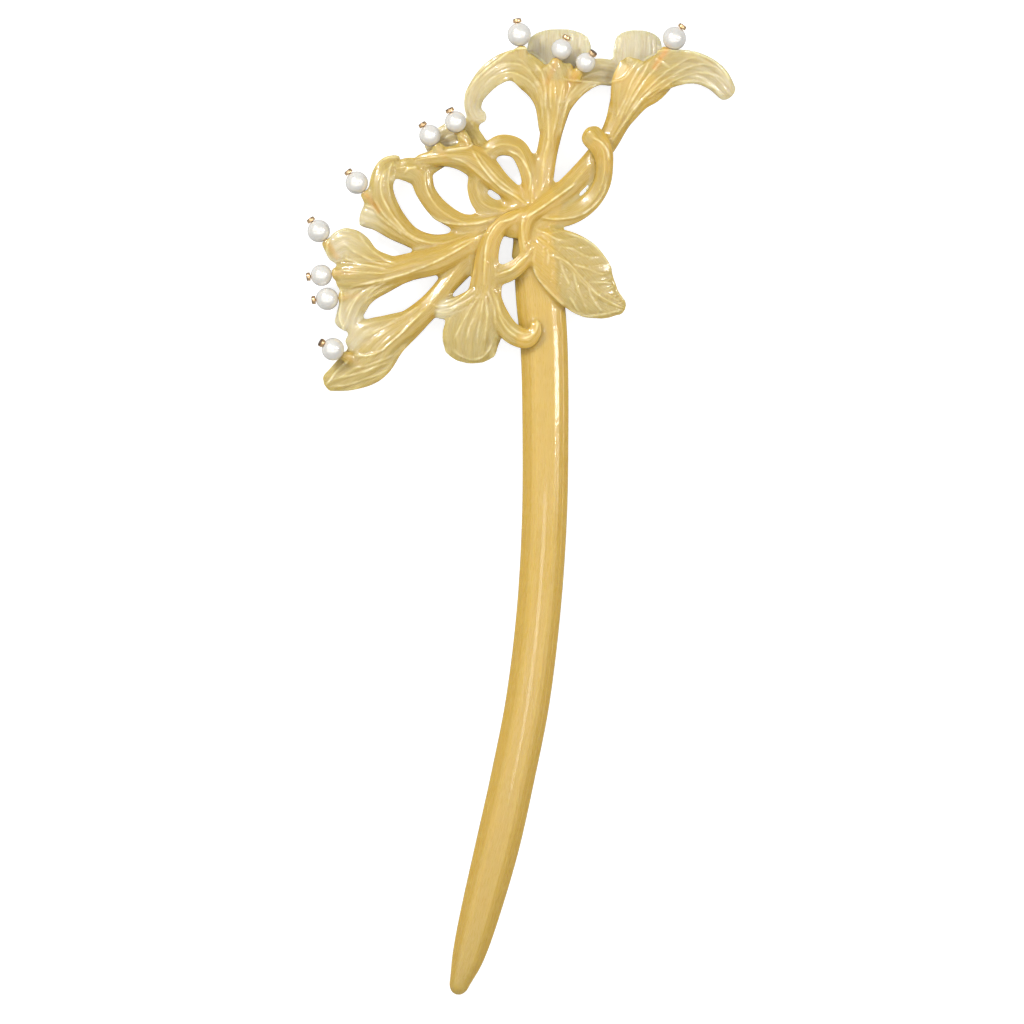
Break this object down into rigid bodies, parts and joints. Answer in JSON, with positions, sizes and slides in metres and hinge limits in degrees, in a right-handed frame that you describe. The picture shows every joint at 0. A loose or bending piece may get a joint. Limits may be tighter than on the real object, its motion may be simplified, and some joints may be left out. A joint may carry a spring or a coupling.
{
  "type": "hair pin",
  "caption": "Long carved horn hair pin with openwork trumpet flowers, a leaf and curled buds, and small pearls that turn on gold head pins.",
  "frame": {"origin": "middle of the hub's flat back face, where the flower stems meet", "axes": "+Y from the tip towards the flowers, +Z out of the carved front, +X to the right seen from the front"},
  "size_m": [0.0751, 0.1709, 0.0079],
  "materials": {
    "horn": "polished translucent honey-coloured horn with fine fibres",
    "pearl": "white nacre with a soft lustre",
    "gold": "gold-coloured head pins, lightly worn"
  },
  "bodies": {
    "horn": {"hub": "horn", "shaft": "horn", "leaf": "horn", "flower_top": "horn", "flower_right": "horn", "flower_upper_left": "horn", "flower_left_upper": "horn", "flower_left": "horn", "flower_lower_left": "horn", "flower_bottom": "horn", "tendril_right": "horn", "tendril_upper": "horn", "tendril_left": "horn", "tendril_inner": "horn", "branch_lower": "horn", "head_pin_01": "gold", "head_pin_02": "gold", "head_pin_03": "gold", "head_pin_04": "gold", "head_pin_05": "gold", "head_pin_06": "gold", "head_pin_07": "gold", "head_pin_08": "gold", "head_pin_09": "gold", "head_pin_10": "gold", "head_pin_11": "gold"},
    "pearl_01": {"pearl_01": "pearl"},
    "pearl_02": {"pearl_02": "pearl"},
    "pearl_03": {"pearl_03": "pearl"},
    "pearl_04": {"pearl_04": "pearl"},
    "pearl_05": {"pearl_05": "pearl"},
    "pearl_06": {"pearl_06": "pearl"},
    "pearl_07": {"pearl_07": "pearl"},
    "pearl_08": {"pearl_08": "pearl"},
    "pearl_09": {"pearl_09": "pearl"},
    "pearl_10": {"pearl_10": "pearl"},
    "pearl_11": {"pearl_11": "pearl"}
  },
  "joints": [
    {"name": "pearl_01_spin", "type": "hinge", "parent": "horn", "child": "pearl_01", "pos_m": [-0.0019, 0.0311, 0.0051], "axis": [-0.1392, 0.9903, 0], "continuous": true},
    {"name": "pearl_02_spin", "type": "hinge", "parent": "horn", "child": "pearl_02", "pos_m": [0.0055, 0.0285, 0.0053], "axis": [0.3907, 0.9205, 0], "continuous": true},
    {"name": "pearl_03_spin", "type": "hinge", "parent": "horn", "child": "pearl_03", "pos_m": [0.0097, 0.0261, 0.006], "axis": [0.5835, 0.7206, 0.3746], "continuous": true},
    {"name": "pearl_04_spin", "type": "hinge", "parent": "horn", "child": "pearl_04", "pos_m": [0.0252, 0.0304, 0.0053], "axis": [0.5584, 0.8279, 0.0523], "continuous": true},
    {"name": "pearl_05_spin", "type": "hinge", "parent": "horn", "child": "pearl_05", "pos_m": [-0.013, 0.0158, 0.0054], "axis": [-0.4441, 0.8715, 0.2079], "continuous": true},
    {"name": "pearl_06_spin", "type": "hinge", "parent": "horn", "child": "pearl_06", "pos_m": [-0.0175, 0.0135, 0.0048], "axis": [-0.5592, 0.829, 0], "continuous": true},
    {"name": "pearl_07_spin", "type": "hinge", "parent": "horn", "child": "pearl_07", "pos_m": [-0.0303, 0.0053, 0.0043], "axis": [-0.6153, 0.7875, 0.0349], "continuous": true},
    {"name": "pearl_08_spin", "type": "hinge", "parent": "horn", "child": "pearl_08", "pos_m": [-0.037, -0.0031, 0.0037], "axis": [-0.5736, 0.8192, 0], "continuous": true},
    {"name": "pearl_09_spin", "type": "hinge", "parent": "horn", "child": "pearl_09", "pos_m": [-0.0365, -0.0109, 0.0044], "axis": [-0.9945, -0.1045, 0], "continuous": true},
    {"name": "pearl_10_spin", "type": "hinge", "parent": "horn", "child": "pearl_10", "pos_m": [-0.0355, -0.015, 0.004], "axis": [-0.9962, -0.0872, 0], "continuous": true},
    {"name": "pearl_11_spin", "type": "hinge", "parent": "horn", "child": "pearl_11", "pos_m": [-0.0344, -0.0239, 0.0059], "axis": [-0.8219, 0.4556, 0.342], "continuous": true}
  ]
}
